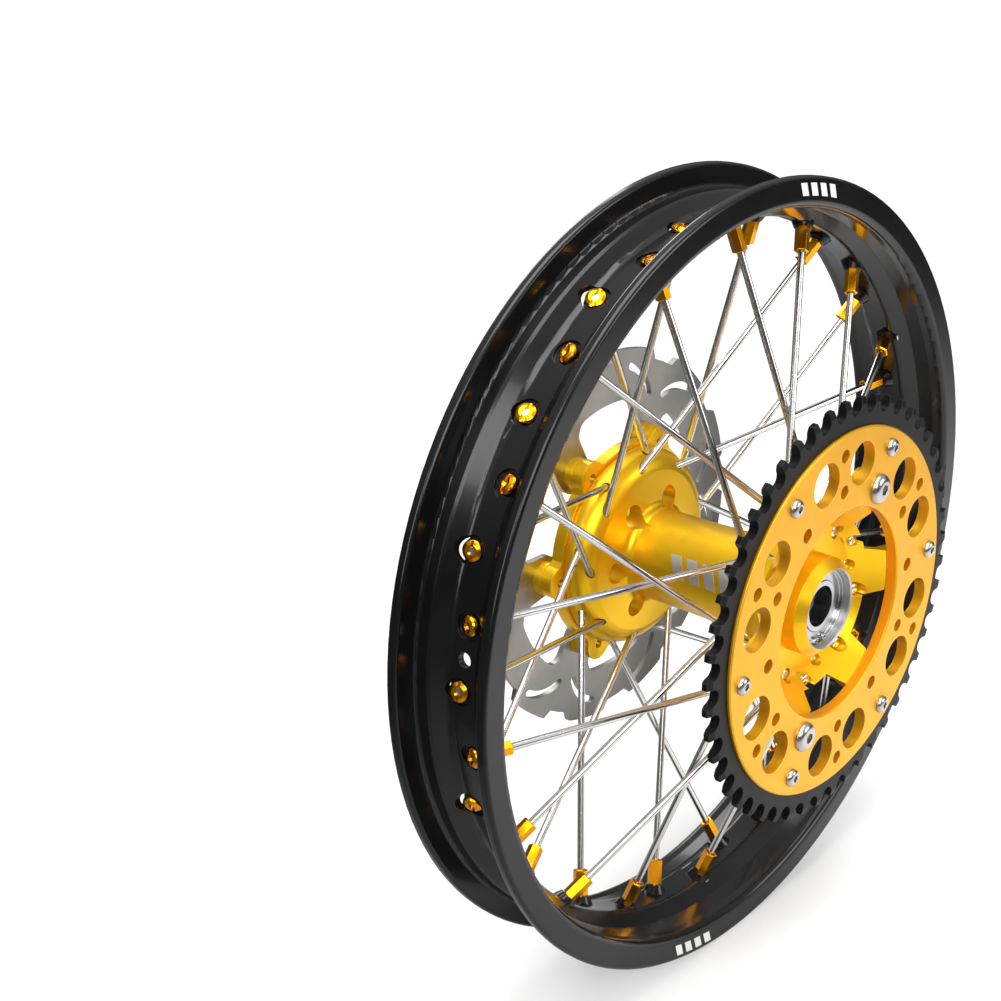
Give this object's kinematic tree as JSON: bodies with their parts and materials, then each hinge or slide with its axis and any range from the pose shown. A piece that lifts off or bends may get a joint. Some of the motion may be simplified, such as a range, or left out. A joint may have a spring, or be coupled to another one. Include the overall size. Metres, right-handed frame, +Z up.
{
  "type": "spoked motorcycle rear wheel",
  "caption": "Spoked off-road motorcycle rear wheel with a machined hub, laced rim, chain sprocket, wave brake disc and ball bearings.",
  "frame": {"origin": "centre of the wheel: on the axle's axis, at the rim's middle plane", "axes": "+Y along the axle towards the sprocket, +Z up, +X forward"},
  "size_m": [0.4868, 0.1809, 0.4868],
  "materials": {
    "black_rim": "black anodised, satin",
    "gold_hub": "gold anodised, satin gloss",
    "gold_plate": "gold anodised, satin",
    "gold_nipple": "gold anodised, gloss",
    "spoke_steel": "polished stainless",
    "disc_steel": "ground, matt",
    "black_teeth": "blackened, satin",
    "bolt_steel": "zinc plated",
    "bearing_steel": "ground",
    "plain_aluminium": "turned",
    "cage_plastic": "moulded"
  },
  "bodies": {
    "axle_core": {"distance_tube": "plain_aluminium", "bearing_inner_ring_sprocket_side": "bearing_steel", "bearing_inner_ring_disc_side": "bearing_steel"},
    "wheel": {"rim": "black_rim", "hub": "gold_hub", "brake_disc": "disc_steel", "disc_bolts": "bolt_steel", "sprocket_core": "gold_plate", "sprocket_ring": "black_teeth", "ring_bolts": "bolt_steel", "ring_nuts": "bolt_steel", "sprocket_bolts": "bolt_steel", "bearing_circlip": "bearing_steel", "bearing_outer_ring_sprocket_side": "bearing_steel", "bearing_shields_sprocket_side": "bearing_steel", "bearing_outer_ring_disc_side": "bearing_steel", "bearing_shields_disc_side": "bearing_steel", "spokes_disc_trailing": "spoke_steel", "nipples_disc_trailing": "gold_nipple", "spokes_disc_leading": "spoke_steel", "nipples_disc_leading": "gold_nipple", "spokes_sprocket_leading": "spoke_steel", "nipples_sprocket_leading": "gold_nipple", "spokes_sprocket_trailing": "spoke_steel", "nipples_sprocket_trailing": "gold_nipple"},
    "ball_set_sprocket_side": {"bearing_balls_sprocket_side": "bearing_steel", "bearing_cage_sprocket_side": "cage_plastic"},
    "ball_set_disc_side": {"bearing_balls_disc_side": "bearing_steel", "bearing_cage_disc_side": "cage_plastic"}
  },
  "joints": [
    {"name": "wheel_spin", "type": "hinge", "parent": "axle_core", "child": "wheel", "pos_m": [0, 0, 0], "axis": [0, 1, 0], "continuous": true},
    {"name": "ball_set_spin_sprocket_side", "type": "hinge", "parent": "axle_core", "child": "ball_set_sprocket_side", "pos_m": [0, 0.0738, 0], "axis": [0, 1, 0], "continuous": true},
    {"name": "ball_set_spin_disc_side", "type": "hinge", "parent": "axle_core", "child": "ball_set_disc_side", "pos_m": [0, -0.0678, 0], "axis": [0, 1, 0], "continuous": true}
  ],
  "couplings": [
    {"joint": "ball_set_spin_sprocket_side", "follows": "wheel_spin", "ratio": 0.6097},
    {"joint": "ball_set_spin_disc_side", "follows": "wheel_spin", "ratio": 0.6097}
  ]
}
